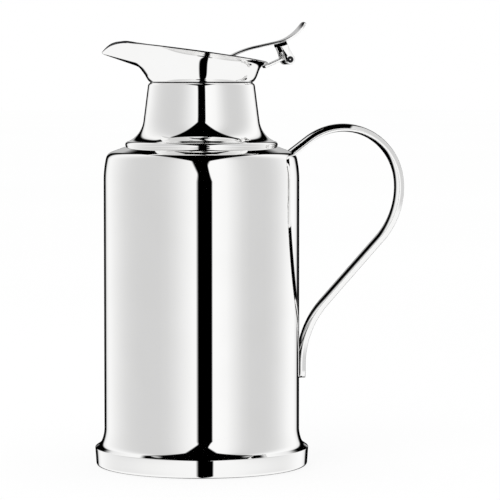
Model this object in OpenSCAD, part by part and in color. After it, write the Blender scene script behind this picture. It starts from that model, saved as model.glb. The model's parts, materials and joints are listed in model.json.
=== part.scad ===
// Insulated jug: a polished metal jug with a glass vacuum liner, a hinged lever lid and a screw-in
// base cap. The origin is on the jug's axis, in the plane it stands on. The spout points along -X
// and the handle along +X.

/* [Body] */
// Outer radius of the straight wall
body_r = 57.5; // [57:0.5:58]
// Height where the straight wall ends
wall_top = 168; // [164:1:170]
// Thickness of the metal sheet
sheet = 0.9; // [0.7:0.1:1.2]
// Radius of the gentle lean above the straight wall
lean_r = 60; // [55:1:66]
// Radius of the shoulder's corner
corner_r = 5.5; // [4:0.5:7]
// Slope of the shoulder, in degrees
shoulder_a = 20; // [16:1:24]
// Height of the shoulder at the bead's outer edge
shoulder_z = 187.5; // [187:0.1:188]
// Radius of the bead ring's outer edge
bead_r = 44.8; // [44:0.1:45.4]

/* [Foot] */
// Largest radius of the foot
foot_r = 63; // [62.6:0.2:64]
// Height where the foot's flare meets the wall
flare_top = 22; // [21:0.5:24]
// Height where the foot's flare turns into its bevel
foot_edge_z = 12; // [11.6:0.1:12.6]
// Radius where the foot's flare turns into its bevel
foot_edge_r = 60.9; // [60.4:0.1:61.3]

/* [Neck] */
// Radius of the neck under its top rounding
neck_r = 31.4; // [31.2:0.1:31.7]
// Height of the joint between neck and spout collar
joint_z = 225; // [224.5:0.1:225.5]
// Taper of the neck, in degrees
neck_taper = 7.3; // [6:0.1:8]
// Radius of the neck's concave skirt
skirt_r = 15; // [13:0.5:16]

/* [Spout collar] */
// Slope of the rim line, in degrees
rim_a = 7.9; // [6:0.1:9]
// Height of the rim at its back end
rim_back_z = 237; // [236.5:0.1:238]
// Distance from the axis to the beak's tip
beak_reach = 58.9; // [56:0.1:61]
// Half angle of the beak's cone, in degrees
beak_a = 33; // [30:0.5:36]

/* [Handle] */
// Width of the flat inner strip
strap_w = 14; // [11:0.5:16]
// Thickness of the flat inner strip
strap_t = 1.8; // [1.4:0.1:2.2]
// Width of the rounded outer bar
moulding_w = 10; // [8:0.5:11]
// Thickness of the rounded outer bar
moulding_t = 3; // [2.4:0.1:3.4]
// Height of the handle's lower end
handle_low = 50; // [46:1:54]

/* [Lid] */
// Distance from the axis to the hinge pin
hinge_x = 51.3; // [51:0.1:51.6]
// Height of the hinge pin
hinge_z = 238.6; // [238.3:0.1:238.9]
// Radius of the hinge pin
pin_r = 1.6; // [1.4:0.1:1.7]
// Running clearance of the pin in the knuckle
pin_gap = 0.05; // [0.02:0.01:0.09]
// Radius of the lid's metal cover
cover_r = 28; // [27:0.5:29]
// Half angle of the stopper's taper, in degrees
stopper_a = 27; // [25:0.5:29]
// Thickness of the thumb lever
lever_t = 1.2; // [1:0.1:1.4]
// Width of the thumb lever at its thumb end
lever_w = 17; // [15:0.5:18]
// Width of the thumb lever where it is fixed to the lid
lever_root_w = 10; // [8:0.5:12]

/* [Glass liner] */
// Outer radius of the glass liner
liner_r = 51.5; // [50.5:0.5:52]
// Thickness of each glass wall
glass_t = 1.6; // [1.4:0.1:1.8]
// Gap between the two glass walls
vacuum_gap = 4; // [3:0.5:4.5]
// Outer radius of the liner's neck
liner_neck_r = 25.5; // [25:0.5:26]

/* [Base] */
// Inner radius of the threaded ring
thread_r = 53; // [52.8:0.1:53.2]
// Radial clearance of the thread
thread_gap = 0.25; // [0.2:0.05:0.35]
// Half width of the base cap's grip bar
grip_half_w = 3.5; // [3:0.5:5]

/* [Hidden] */
$fn = 96;
far = 200;
// How far two parts of one profile overlap where they are joined
lap = 0.05;

silver = [0.85, 0.84, 0.82];
steel = [0.62, 0.63, 0.65];
rubber_black = [0.12, 0.12, 0.13];
plastic_black = [0.16, 0.16, 0.17];
plastic_white = [0.9, 0.89, 0.86];
glass_tint = [0.75, 0.82, 0.85];
foam_cream = [0.88, 0.84, 0.72];

// A point at distance d from p in the direction a
function at(p, d, a) = p + d * [cos(a), sin(a)];

// The part of a profile between two heights
module slice(low, high) {
  intersection() {
    children();
    translate([0, low]) square([far, high - low]);
  }
}

// A flat ring of rectangular section
module ring(inner, outer, low, high) {
  difference() {
    translate([0, 0, low]) cylinder(r = outer, h = high - low);
    translate([0, 0, low - 1]) cylinder(r = inner, h = high - low + 2);
  }
}

// A point turned by an angle about the origin
function turned(p, a) = [p[0] * cos(a) - p[1] * sin(a), p[0] * sin(a) + p[1] * cos(a)];

// A bent strip is a list of steps: [length, 0] is a straight and [radius, turn] is a bend,
// to the left for a positive turn. This is the move from the start of a step to its end.
function step_end(step) = step[1] == 0 ? [step[0], 0]
  : [step[0] * sin(abs(step[1])), sign(step[1]) * step[0] * (1 - cos(step[1]))];

// The corners of one step at a distance to the left of its path, without the last one
bend_facet = 4;
function step_points(step, off) = step[1] == 0 ? [[0, off]]
  : let (side = sign(step[1]), facets = ceil(abs(step[1]) / bend_facet), r = step[0] - side * off)
    [for (i = [0:facets - 1])
      [r * sin(abs(step[1]) * i / facets), side * (step[0] - r * cos(step[1] * i / facets))]];

// The corners of a whole run of steps at a distance to the left of its path.
// The path starts at p in the direction a.
function run_points(steps, off, p = [0, 0], a = 0, i = 0) =
  i == len(steps) ? [p + turned([0, off], a)]
  : concat([for (q = step_points(steps[i], off)) p + turned(q, a)],
           run_points(steps, off, p + turned(step_end(steps[i]), a), a + steps[i][1], i + 1));

// The side view of a strip between two distances from its path
module bent_strip(steps, low, high) {
  far_side = run_points(steps, high);
  polygon(concat(run_points(steps, low), [for (i = [len(far_side) - 1:-1:0]) far_side[i]]));
}

// Stands a side view up in the XZ plane and gives it a width along Y
module side_view(width) {
  rotate([90, 0, 0]) translate([0, 0, -width / 2]) linear_extrude(width) children();
}

// ---- Outer metalwork ----

shell_bottom = 3.5;
opening_r = 41;
shoulder_n = [sin(shoulder_a), cos(shoulder_a)];
lean_c = [body_r - lean_r, wall_top];
corner_off = shoulder_n * [bead_r, shoulder_z] - corner_r - shoulder_n * lean_c;
corner_c = lean_c + corner_off * shoulder_n
  + sqrt(pow(lean_r - corner_r, 2) - pow(corner_off, 2)) * [shoulder_n[1], -shoulder_n[0]];
corner_dir = atan2(corner_c[1] - lean_c[1], corner_c[0] - lean_c[0]);

// Height of the shoulder's slope at radius r
function slope_z(r) = shoulder_z - (r - bead_r) * tan(shoulder_a);

// Profile of the body, moved inwards by inset
module body_profile(inset = 0) {
  lean_end = at(lean_c, lean_r - inset, corner_dir);
  drop = inset / cos(shoulder_a);
  square([body_r - inset, wall_top]);
  slice(wall_top, lean_end[1]) translate(lean_c) circle(r = lean_r - inset, $fn = 180);
  translate(corner_c) circle(r = corner_r - inset);
  polygon([[0, lean_end[1]], lean_end, corner_c, corner_c + (corner_r - inset) * shoulder_n,
           [opening_r - 2, slope_z(opening_r - 2) - drop], [0, slope_z(opening_r - 2) - drop]]);
}

module body_solid() {
  rotate_extrude() body_profile();
}

module body_shell() {
  color(silver) rotate_extrude()
    difference() {
      body_profile();
      body_profile(sheet);
      square([opening_r, far + 50]);
      square([far, shell_bottom]);
    }
}

// Concave flare that is tangent to the wall at flare_top and passes through the bevel's upper edge
flare_rise = flare_top - foot_edge_z;
flare_run = foot_edge_r - body_r;
flare_r = (flare_run * flare_run + flare_rise * flare_rise) / (2 * flare_run);
// The flare stops where it is still a little thicker than nothing
feather_t = 0.12;
flare_end = flare_top - sqrt(2 * feather_t * flare_r);
foot_round = 1.6;
foot_belt_z = 10.6;
foot_sole_r = 60.8;
foot_sheet = 1.3;

// Profile of the foot, moved inwards by inset.
// The bevel above the belt runs on into the flare's arc, which cuts it.
module foot_profile(inset = 0) {
  belt = [foot_r - inset, foot_belt_z];
  edge = [foot_edge_r - inset, foot_edge_z];
  past_edge = 2 * edge - belt;
  difference() {
    polygon([[0, inset], [foot_sole_r, inset], [foot_sole_r + foot_round - inset, foot_round],
             belt, past_edge, [past_edge[0], flare_end], [0, flare_end]]);
    translate([body_r + flare_r, flare_top]) circle(r = flare_r + inset);
  }
}

module foot_ring() {
  sole_inner_r = 56.8;
  color(silver) rotate_extrude()
    difference() {
      union() {
        foot_profile();
        translate([foot_sole_r, foot_round]) circle(r = foot_round);
      }
      difference() {
        foot_profile(foot_sheet);
        square([sole_inner_r, far]);
      }
      square([sole_inner_r, far]);
      translate([0, shell_bottom]) square([body_r, far]);
    }
}

bead_half = 1.9;
bead_c = [bead_r - bead_half, 188.8];
neck_low = 190.4;

module shoulder_bead() {
  color(silver) rotate_extrude()
    difference() {
      slice(0, neck_low) {
        translate(bead_c) circle(r = bead_half);
        translate([opening_r, bead_c[1] - 2]) square([bead_c[0] - opening_r, 4]);
      }
      body_profile();
    }
}

neck_top_round = 2.5;
neck_round_z = 223.2;
neck_sheet = 1;
neck_inner_r = 29.6;
// The skirt's arc is tangent to the neck's taper at this height
skirt_z = 202.6;
skirt_top_r = neck_r + (neck_round_z - skirt_z) * tan(neck_taper);
skirt_c = at([skirt_top_r, skirt_z], skirt_r, neck_taper);
skirt_low_r = skirt_c[0] - sqrt(pow(skirt_r, 2) - pow(skirt_c[1] - neck_low, 2));

// Profile of the neck, moved inwards by inset
module neck_profile(inset = 0) {
  slice(neck_round_z, joint_z)
    translate([neck_r - neck_top_round, neck_round_z]) circle(r = neck_top_round - inset);
  polygon([[0, skirt_z], [skirt_top_r - inset, skirt_z], [neck_r - inset, neck_round_z],
           [0, neck_round_z]]);
  difference() {
    translate([0, neck_low]) square([skirt_c[0] - 5, skirt_z - neck_low]);
    translate(skirt_c) circle(r = skirt_r + inset);
  }
}

module neck_shell() {
  color(silver) rotate_extrude()
    difference() {
      neck_profile();
      neck_profile(neck_sheet);
      square([neck_inner_r, far + joint_z]);
      translate([skirt_low_r, 0]) square([far, far + joint_z]);
    }
}

// ---- Spout collar ----

collar_t = 1.1;
collar_floor_t = 1.2;
collar_floor_r = 24.2;
joint_groove_r = 30;
// The bowl's lower arc bulges outwards, then the wall flares, and a steeper lip leads on to the rim
bowl_low = 225.3;
bowl_low_r = 30.6;
bowl_r = 13;
bowl_start_a = 42;
bowl_mid_a = 24;
bowl_c = at([bowl_low_r, bowl_low], bowl_r, 180 - bowl_start_a);
bowl_mid = at(bowl_c, bowl_r, -bowl_mid_a);
bowl_flare = 7.5;
bowl_flare_a = 54;
bowl_flare_end = at(bowl_mid, bowl_flare, bowl_flare_a);
bowl_lip = 22;
bowl_lip_a = 63;
bowl_lip_end = at(bowl_flare_end, bowl_lip, bowl_lip_a);

// Profile of the collar's bowl, moved inwards by inset
module bowl_profile(inset = 0) {
  mid_z = bowl_mid[1] + inset * sin(bowl_mid_a);
  shift = [inset / sin(bowl_flare_a), 0];
  slice(bowl_low, mid_z + lap) {
    translate(bowl_c) circle(r = bowl_r - inset);
    translate([0, bowl_low]) square([bowl_c[0], far]);
  }
  difference() {
    polygon([[0, bowl_mid[1]], bowl_mid - shift, bowl_flare_end - shift, bowl_lip_end - shift,
             [0, bowl_lip_end[1]]]);
    square([far, mid_z]);
  }
}

// The side view of everything below the rim, which climbs towards the beak and drops over its tip
rim_peak_r = 16.5;
rim_turn_x = -43.5;
rim_back_x = 38.9;
rim_turn = [rim_turn_x, rim_back_z + (rim_back_x - rim_turn_x) * tan(rim_a)];
rim_peak_c = at(rim_turn, rim_peak_r, rim_a - 90 - 2 * rim_a);

module below_rim() {
  rim_front_x = rim_peak_c[0] - rim_peak_r;
  polygon([[far, 0], [far, rim_turn[1] - (far - rim_turn_x) * tan(rim_a)], rim_turn, rim_peak_c,
           [rim_front_x, rim_peak_c[1]], [rim_front_x, 0]]);
  intersection() {
    translate(rim_peak_c) circle(r = rim_peak_r);
    translate([-far, 0]) square([far + rim_turn[0], far + joint_z]);
  }
}

beak_tip_r = 2;
beak_length = 36;
// The beak's underside keeps this slope, whatever its cone's angle
beak_under_a = 19;
beak_tilt = beak_a - beak_under_a;
beak_tip_z = 243.5;

// The beak's cone, moved inwards by inset
module beak_cone(inset = 0) {
  shrink = inset / cos(beak_a);
  translate([-beak_reach, 0, beak_tip_z])
    rotate([0, 90 - beak_tilt, 0])
      cylinder(r1 = beak_tip_r - shrink, r2 = beak_tip_r - shrink + beak_length * tan(beak_a),
               h = beak_length);
}

module spout_collar() {
  color(silver) {
    intersection() {
      difference() {
        union() {
          rotate_extrude() bowl_profile();
          beak_cone();
        }
        rotate_extrude() bowl_profile(collar_t);
        beak_cone(collar_t);
      }
      side_view(far) below_rim();
    }
    ring(collar_floor_r, joint_groove_r, joint_z, bowl_low + collar_floor_t);
  }
}

// ---- Handle ----

handle_t = strap_t + moulding_t;
handle_foot = 8;
handle_low_bend = [53, -42];
handle_run = 50.5;
handle_side_bend = [47.5, 48];
handle_crown_bend = [37, 121];
handle_top_run = 14;
// The path is the outer face of the outer bar, from the lower end to the shoulder
handle_steps = [[handle_foot, 0], handle_low_bend, [handle_run, 0], handle_side_bend, handle_crown_bend,
                [handle_top_run, 0]];

// The part of the handle between two depths below its outer face
module handle_layer(width, low, high) {
  difference() {
    translate([body_r + handle_t, 0, handle_low])
      side_view(width) rotate(90) bent_strip(handle_steps, low, high);
    body_solid();
  }
}

module handle_strap() {
  color(silver) handle_layer(strap_w, moulding_t, handle_t);
}

module handle_moulding() {
  color(silver) handle_layer(moulding_w, 0, moulding_t);
}

// ---- Hinge ----

ear_t = 2.5;
ear_out = 9.25;
ear_r = 2.9;
ear_lean = 23.6;
ear_top = 13;
ear_top_half = 2.2;
knuckle_r = 2.8;
knuckle_w = 13;
arm_t = 1.5;
arm_w = 10;

// Places a side view with its origin on the hinge axis
module at_hinge() {
  translate([hinge_x, 0, hinge_z]) children();
}

module hinge_bore(r) {
  at_hinge() rotate([90, 0, 0]) cylinder(r = r, h = far, center = true);
}

module hinge_pin() {
  dimple_r = 0.9;
  dimple = 0.3;
  color(steel) at_hinge()
    difference() {
      rotate([90, 0, 0]) cylinder(r = pin_r, h = 2 * ear_out, center = true);
      for (side = [-1, 1])
        translate([0, side * ear_out, 0]) rotate([90, 0, 0])
          cylinder(r = dimple_r, h = 2 * dimple, center = true);
    }
}

// Straight arm from a foot on the collar's back to the top of the knuckle
module hinge_bracket() {
  arm_a = 24;
  arm_len = 16;
  arm_sunk = 0.3;
  arm_top = at([0, 0], knuckle_r - arm_sunk, 90 + arm_a);
  color(silver)
    difference() {
      union() {
        at_hinge() rotate([90, 0, 0]) cylinder(r = knuckle_r, h = knuckle_w, center = true);
        at_hinge() side_view(arm_w)
          translate(arm_top) rotate(180 + arm_a) square([arm_len, arm_t]);
      }
      hinge_bore(pin_r + pin_gap);
      rotate_extrude() bowl_profile();
    }
}

module ear_outline() {
  side_a = asin((ear_r - ear_top_half) / ear_top);
  circle(r = ear_r);
  rotate(ear_lean)
    polygon([at([0, 0], ear_r, -side_a), [ear_top_half, ear_top], [-ear_top_half, ear_top],
             at([0, 0], ear_r, 180 + side_a)]);
}

module hinge_yoke() {
  web_low = 5.6;
  color(silver)
    difference() {
      union() {
        for (side = [-1, 1])
          translate([0, side * (ear_out - ear_t / 2), 0]) at_hinge() side_view(ear_t) ear_outline();
        at_hinge() side_view(2 * ear_out - 2) rotate(ear_lean)
          translate([-ear_top_half, web_low]) square([2 * ear_top_half, ear_top - web_low]);
      }
      hinge_bore(pin_r);
      lever_cutter();
    }
}

// ---- Lid ----

lid_low = 227.2;
flange_t = 1;
cover_low = lid_low + flange_t;
cover_top = 231;
cover_sheet = 0.8;
cover_crown = 130;
// The crown is cut flat on top, so that its sphere would rise a little higher
dome_z = cover_top - cover_crown;
dome_inner_r = cover_crown + 0.4 - cover_sheet;
lever_pad = 9;
lever_start = [-9, cover_top + lever_t / 2];
// The lever rises from its pad, runs back over the hinge and curls up at its thumb end
lever_steps = [[lever_pad, 0], [10, 42], [20, -15.3], [9, 0], [54, -14.4], [13.5, 0], [25, 47.2]];

module lever_view(low, high) {
  translate(lever_start) bent_strip(lever_steps, low, high);
}

// The lever widens evenly from the lid to the thumb end
module lid_lever() {
  widest_x = 70;
  color(silver) intersection() {
    side_view(lever_w) lever_view(-lever_t / 2, lever_t / 2);
    linear_extrude(far + joint_z)
      polygon([[lever_start[0] - 1, -lever_root_w / 2], [widest_x, -lever_w / 2], [widest_x, lever_w / 2],
               [lever_start[0] - 1, lever_root_w / 2]]);
  }
}

// Everything from the lever's underside upwards, near the ears
module lever_cutter() {
  side_view(far) lever_view(-lever_t / 2, 9);
}

// The cover is a shallow dish with a flat top where the lever's pad is brazed on
module lid_cover() {
  boss_r = 3.4;
  boss_low = cover_low + 1.6;
  rim_inner_r = cover_r - cover_sheet;
  rim_high = dome_z + sqrt(pow(dome_inner_r, 2) - pow(rim_inner_r, 2));
  color(silver) difference() {
    union() {
      intersection() {
        difference() {
          translate([0, 0, dome_z]) sphere(r = dome_inner_r + cover_sheet, $fn = 180);
          translate([0, 0, dome_z]) sphere(r = dome_inner_r, $fn = 180);
        }
        translate([0, 0, lid_low]) cylinder(r = cover_r, h = cover_top - lid_low);
      }
      ring(rim_inner_r, cover_r, lid_low, rim_high);
      translate([0, 0, boss_low]) cylinder(r = boss_r, h = cover_top - boss_low);
    }
    translate([0, 0, lid_low]) cylinder(r = screw_r, h = cover_top - lid_low - 1);
  }
}

screw_r = 1.5;
screw_head_r = 3.5;
screw_head_t = 1.6;
stopper_low = 214.5;
seat_top_r = 23;
seat_z = 226.5;
seat_gap = 0.4;

// Radius of the stopper's seat at height z
function seat_radius(z) = seat_top_r - (seat_z - z) * tan(stopper_a);

module stopper_profile(inset = 0) {
  low_r = seat_radius(stopper_low) - seat_gap - inset;
  high_r = seat_radius(seat_z) - seat_gap - inset;
  polygon([[0, stopper_low + inset], [low_r, stopper_low + inset], [high_r, seat_z], [0, seat_z]]);
}

seal_z = 221;
seal_half = 1.1;

// Section of the seal and of its groove, made a little larger by grow
module seal_groove(grow = 0) {
  sunk = 0.5;
  translate([seat_radius(seal_z) - seat_gap - sunk, seal_z]) circle(r = seal_half + grow);
}

stopper_wall = 1.8;

module lid_insert() {
  color(plastic_black) rotate_extrude()
    difference() {
      union() {
        stopper_profile();
        intersection() {
          union() {
            translate([0, seat_z - lap])
              square([seat_radius(seat_z) - seat_gap, cover_low - seat_z + lap]);
            translate([0, lid_low]) square([cover_r - cover_sheet - 0.1, flange_t]);
          }
          translate([0, dome_z]) circle(r = dome_inner_r - 0.05, $fn = 720);
        }
      }
      difference() {
        union() {
          stopper_profile(stopper_wall);
          translate([0, seat_z - lap])
            square([seat_radius(seat_z) - seat_gap - stopper_wall, cover_low - seat_z + 1]);
        }
        square([screw_head_r + 1, far + joint_z]);
      }
      seal_groove();
      square([screw_r, far + joint_z]);
      square([screw_head_r, stopper_low + screw_head_t]);
    }
}

module lid_core() {
  gap = 0.1;
  seal_wall = 0.6;
  color(foam_cream) rotate_extrude()
    difference() {
      union() {
        stopper_profile(stopper_wall + gap);
        translate([0, seat_z - lap])
          square([seat_radius(seat_z) - seat_gap - stopper_wall - gap, flange_t + 0.2]);
      }
      square([screw_head_r + 1 + gap, far + joint_z]);
      seal_groove(seal_wall);
    }
}

// The seal stops just short of the seat it closes against
module lid_seal() {
  gap = 0.1;
  low = seal_z - 5;
  high = seal_z + 5;
  color(rubber_black) rotate_extrude()
    intersection() {
      seal_groove();
      polygon([[0, low], [seat_radius(low) - gap, low], [seat_radius(high) - gap, high], [0, high]]);
    }
}

module lid_screw() {
  shank_top = cover_top - 1.2;
  slot_w = 0.9;
  slot = 0.8;
  color(steel) difference() {
    union() {
      translate([0, 0, stopper_low]) cylinder(r = screw_head_r, h = screw_head_t);
      translate([0, 0, stopper_low]) cylinder(r = screw_r, h = shank_top - stopper_low);
    }
    translate([-screw_head_r, -slot_w / 2, stopper_low - 0.1]) cube([2 * screw_head_r, slot_w, slot + 0.1]);
  }
}

// ---- Throat and glass liner ----

mouth_z = 210;
mouth_round = 3;
seal_above_mouth = 2.4;
sleeve_low = mouth_z + seal_above_mouth + 0.1;
sleeve_flange_low = 222.6;
sleeve_flange_r = 29.3;
sleeve_neck_r = 24;
sleeve_low_r = 24.5;

// The sleeve carries the conical seat that the stopper closes
module throat_sleeve() {
  bore_r = 17.6;
  flange_high = joint_z - 0.1;
  cone_low = seat_z - 15;
  cone_high = seat_z + 1;
  color(plastic_white) rotate_extrude()
    difference() {
      polygon([[0, sleeve_low], [sleeve_low_r, sleeve_low], [sleeve_low_r, sleeve_flange_low],
               [sleeve_flange_r, sleeve_flange_low], [sleeve_flange_r, flange_high],
               [sleeve_neck_r, flange_high], [sleeve_neck_r, seat_z], [0, seat_z]]);
      square([bore_r, far + joint_z]);
      polygon([[0, cone_low], [seat_radius(cone_low), cone_low],
               [seat_radius(cone_high), cone_high], [0, cone_high]]);
    }
}

liner_bottom = 18;
liner_corner_r = 18;
dome_low = 150;
dome_r = 30;
dome_c = [liner_r - dome_r, dome_low];
neck_fillet = 7;
fillet_c = [liner_neck_r + neck_fillet,
            dome_low + sqrt(pow(dome_r + neck_fillet, 2) - pow(liner_neck_r + neck_fillet - dome_c[0], 2))];
inner_inset = glass_t + vacuum_gap;
lip_low = mouth_z - mouth_round;

// Profile of the liner, moved inwards by inset
module liner_profile(inset = 0) {
  dome_end = dome_c + (dome_r - inset) / (dome_r + neck_fillet) * (fillet_c - dome_c);
  corner_z = liner_bottom + liner_corner_r;
  translate([0, corner_z]) square([liner_r - inset, dome_low - corner_z]);
  translate([liner_r - liner_corner_r, corner_z]) intersection() {
    circle(r = liner_corner_r - inset);
    translate([0, -far]) square([far, far]);
  }
  translate([0, liner_bottom + inset]) square([liner_r - liner_corner_r, corner_z]);
  slice(dome_low, dome_end[1]) {
    translate(dome_c) circle(r = dome_r - inset);
    translate([0, dome_low]) square([dome_c[0], dome_r - inset]);
  }
  difference() {
    translate([0, dome_low]) square([fillet_c[0] - 0.5, fillet_c[1] - dome_low]);
    translate(fillet_c) circle(r = neck_fillet + inset);
    translate([dome_end[0], 0]) square([far, dome_end[1]]);
  }
  translate([0, fillet_c[1]]) square([liner_neck_r - inset, lip_low - fillet_c[1]]);
}

tip_low = 12.5;
tip_r = 1.6;
tip_root_r = 5;

module outer_flask() {
  color(glass_tint) {
    rotate_extrude() difference() {
      liner_profile();
      liner_profile(glass_t);
    }
    translate([0, 0, tip_low + tip_r]) sphere(r = tip_r);
    translate([0, 0, tip_low + tip_r])
      cylinder(r1 = tip_r, r2 = tip_root_r, h = liner_bottom + 0.2 - tip_low - tip_r);
  }
}

module inner_flask() {
  lip_r = (inner_inset + glass_t) / 2;
  lip_mid = liner_neck_r - lip_r;
  color(glass_tint) rotate_extrude() {
    difference() {
      liner_profile(inner_inset);
      liner_profile(inner_inset + glass_t);
    }
    translate([lip_mid - lip_r, lip_low]) intersection() {
      translate([lip_r, 0]) circle(r = lip_r);
      square([2 * lip_r, mouth_round]);
    }
  }
}

module flask_spacers() {
  pad_r = 5;
  pad_z = 60;
  color(steel) difference() {
    intersection() {
      union() {
        for (i = [0:2])
          rotate([0, 0, 60 + 120 * i]) translate([0, 0, pad_z])
            rotate([0, 90, 0]) cylinder(r = pad_r, h = liner_r);
      }
      cylinder(r = liner_r - glass_t, h = 2 * pad_z);
    }
    cylinder(r = liner_r - inner_inset, h = 2 * pad_z);
  }
}

module mouth_seal() {
  seal_wall = 1.6;
  gap = 0.1;
  color(rubber_black) rotate_extrude()
    difference() {
      translate([liner_neck_r - inner_inset - glass_t, lip_low])
        square([inner_inset + glass_t + seal_wall, mouth_round + seal_above_mouth]);
      translate([liner_neck_r - inner_inset - glass_t - 1, lip_low - 1])
        square([inner_inset + glass_t + 1 + gap, mouth_round + 1 + gap]);
    }
}

module centering_ring() {
  low = 198;
  high = 205;
  gap = 0.15;
  neck_inside = neck_r + (neck_round_z - high) * tan(neck_taper) - neck_sheet / cos(neck_taper);
  color(foam_cream) ring(liner_neck_r + gap, neck_inside - gap, low, high);
}

// ---- Base ----

thread_low = 5;
thread_high = 15;
cap_floor_low = 7.5;
cap_floor_t = 2.2;
cushion_low = cap_floor_low + cap_floor_t + 0.7;
tip_cup_r = 9;

module tip_cup() {
  wall = 1;
  color(plastic_white) rotate_extrude()
    difference() {
      translate([0, cushion_low + 0.2]) square([tip_cup_r, liner_bottom - cushion_low - 0.2]);
      translate([0, cushion_low + 0.2 + wall]) square([tip_cup_r - wall, far]);
    }
}

module flask_cushion() {
  inner = 22;
  high = 26;
  gap = 0.15;
  color(rubber_black) rotate_extrude()
    difference() {
      translate([inner, cushion_low]) square([liner_r - 1.5 - inner, high - cushion_low]);
      liner_profile(-gap);
    }
}

module slip_washer() {
  color(plastic_white) ring(21, 46, cap_floor_low + cap_floor_t + 0.05, cushion_low - 0.05);
}

module base_cap() {
  plug_r = thread_r - thread_gap;
  flange_r = 55.8;
  flange_low = 2.2;
  flange_high = thread_low - 0.3;
  wall = 2.2;
  color(plastic_black) {
    ring(plug_r - wall, plug_r, flange_low, thread_high);
    ring(plug_r - wall, flange_r, flange_low, flange_high);
    translate([0, 0, cap_floor_low]) cylinder(r = plug_r - wall / 2, h = cap_floor_t);
    intersection() {
      translate([-far / 2, -grip_half_w, flange_low])
        cube([far, 2 * grip_half_w, cap_floor_low - flange_low + 1]);
      cylinder(r = plug_r - wall / 2, h = far);
    }
  }
}

module thread_ring() {
  color(silver) ring(thread_r, body_r - sheet, thread_low, thread_high);
}

body_shell();
foot_ring();
shoulder_bead();
neck_shell();
spout_collar();
handle_strap();
handle_moulding();
hinge_bracket();
hinge_pin();
hinge_yoke();
lid_lever();
lid_cover();
lid_insert();
lid_core();
lid_seal();
lid_screw();
throat_sleeve();
mouth_seal();
centering_ring();
inner_flask();
outer_flask();
flask_spacers();
tip_cup();
flask_cushion();
slip_washer();
base_cap();
thread_ring();
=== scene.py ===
import json
import math

import bmesh
import bpy
from mathutils import Matrix, Vector


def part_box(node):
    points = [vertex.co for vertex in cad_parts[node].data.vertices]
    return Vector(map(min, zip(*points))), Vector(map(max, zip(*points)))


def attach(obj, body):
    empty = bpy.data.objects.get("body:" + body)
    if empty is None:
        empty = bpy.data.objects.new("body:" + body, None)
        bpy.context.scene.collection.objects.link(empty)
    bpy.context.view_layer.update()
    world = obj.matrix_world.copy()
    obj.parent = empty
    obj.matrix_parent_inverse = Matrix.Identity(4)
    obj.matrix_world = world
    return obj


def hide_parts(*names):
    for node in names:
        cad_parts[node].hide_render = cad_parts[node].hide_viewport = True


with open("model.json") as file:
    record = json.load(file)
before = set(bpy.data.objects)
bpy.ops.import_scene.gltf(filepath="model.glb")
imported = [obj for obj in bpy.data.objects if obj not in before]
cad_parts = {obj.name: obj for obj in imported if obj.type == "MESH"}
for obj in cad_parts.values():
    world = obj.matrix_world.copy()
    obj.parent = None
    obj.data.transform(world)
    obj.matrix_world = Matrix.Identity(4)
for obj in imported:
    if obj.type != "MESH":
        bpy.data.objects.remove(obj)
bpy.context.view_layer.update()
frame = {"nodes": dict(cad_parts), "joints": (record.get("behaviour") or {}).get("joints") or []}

# The profiles and side views below are drawn in millimetres, like the CAD part.
MM = 0.001
SIDES = 256  # facets round a turned piece
FACET = 2.0  # degrees of an arc per facet
LONGEST = 3.0  # longest straight facet
BURIED = 0.3  # how far a piece reaches into the one it is joined to


def box_mm(node):
    """Lowest and highest corner of a CAD node."""
    low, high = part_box(node)
    return low / MM, high / MM


# ---- Sizes from the frame ----

body_low, body_high = box_mm("body_shell")
foot_low, foot_high = box_mm("foot_ring")
_, bead_high = box_mm("shoulder_bead")
neck_low, neck_high = box_mm("neck_shell")
collar_low, _ = box_mm("spout_collar")
strap_low, strap_high = box_mm("handle_strap")
_, moulding_high = box_mm("handle_moulding")
_, pin_high = box_mm("hinge_pin")
_, yoke_high = box_mm("hinge_yoke")
lever_low, lever_high = box_mm("lid_lever")
cover_low, cover_high = box_mm("lid_cover")
insert_low, _ = box_mm("lid_insert")
_, screw_high = box_mm("lid_screw")
sleeve_low, sleeve_high = box_mm("throat_sleeve")
cap_low, cap_high = box_mm("base_cap")
hinge_place = [joint for joint in frame["joints"] if joint["name"] == "lid_hinge"][0]


# ---- Flat outlines: lists of (across, up) ----


def arc(centre, radius, start, end, facet=FACET):
    """Points on an arc between two directions, in degrees."""
    count = max(2, math.ceil(abs(end - start) / facet))
    angles = [math.radians(start + (end - start) * i / count) for i in range(count + 1)]
    return [(centre[0] + radius * math.cos(a), centre[1] + radius * math.sin(a)) for a in angles]


def dense(points, closed=False):
    """The same outline with its long straights cut up, so that smooth shading stays true along them."""
    result = []
    count = len(points)
    for i in range(count if closed else count - 1):
        a, b = points[i], points[(i + 1) % count]
        pieces = max(1, math.ceil(math.hypot(b[0] - a[0], b[1] - a[1]) / LONGEST))
        for k in range(pieces):
            result.append((a[0] + (b[0] - a[0]) * k / pieces, a[1] + (b[1] - a[1]) * k / pieces))
    return result if closed else result + [points[-1]]


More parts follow.
